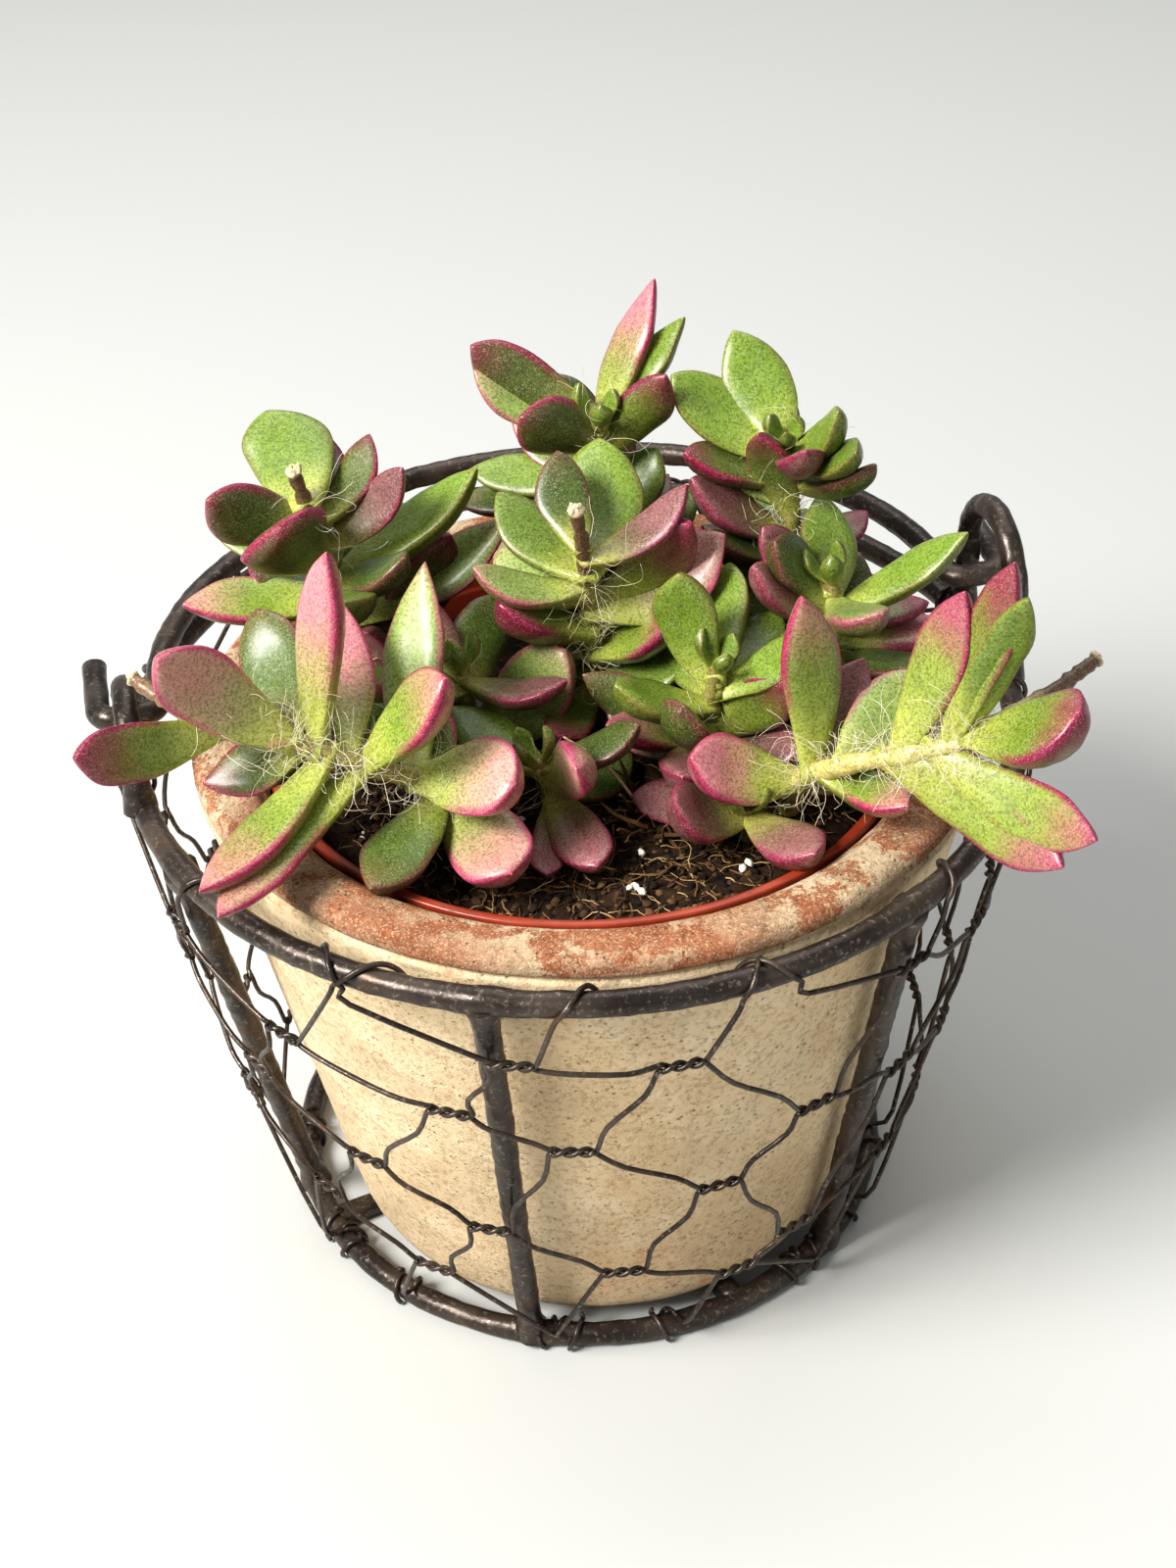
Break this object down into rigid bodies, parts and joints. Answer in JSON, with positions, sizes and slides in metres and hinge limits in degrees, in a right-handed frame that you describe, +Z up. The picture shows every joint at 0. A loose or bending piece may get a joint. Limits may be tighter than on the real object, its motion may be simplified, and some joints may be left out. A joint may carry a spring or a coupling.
{
  "type": "potted crassula",
  "caption": "Small potted crassula: leafy succulent stems in soil in a nursery pot, set in a terracotta pot inside a wire basket with a bail handle.",
  "frame": {"origin": "where the two crossed base rods meet, on the basket's underside, at table level", "axes": "+Z up; -Y towards the viewer, the front; +X to the viewer's right"},
  "size_m": [0.1578, 0.1499, 0.1538],
  "materials": {
    "steel": "dark brown-grey oxidised rod and wire, semi-gloss",
    "terracotta": "aged fired clay, matt, buff with pale lime bloom and orange patches",
    "plastic": "red-brown plant pot, glossy",
    "soil": "dark peat compost with fibres, matt",
    "leaf": "fleshy green leaves blushing pink at tip and edge, waxy"
  },
  "bodies": {
    "planter": {"top_ring": "steel", "base_ring": "steel", "base_cross": "steel", "eye_left": "steel", "eye_right": "steel", "upright_1": "steel", "upright_2": "steel", "upright_3": "steel", "upright_4": "steel", "upright_5": "steel", "upright_6": "steel", "wire_netting": "steel", "terracotta_pot": "terracotta", "nursery_pot": "plastic", "soil": "soil", "shoot_trailing_left": "leaf", "shoot_low_left": "leaf", "shoot_left_centre": "leaf", "shoot_left_back": "leaf", "shoot_centre": "leaf", "shoot_back": "leaf", "shoot_back_right": "leaf", "shoot_right_back": "leaf", "shoot_right_centre": "leaf", "shoot_low_right": "leaf", "shoot_trailing_right": "leaf"},
    "handle": {"bail": "steel"}
  },
  "joints": [
    {"name": "handle_swing", "type": "hinge", "parent": "planter", "child": "handle", "pos_m": [-0.00137, 0.00673, 0.1039], "axis": [0.9795, 0.1993, 0.0294], "range_deg": [0, 90]}
  ]
}
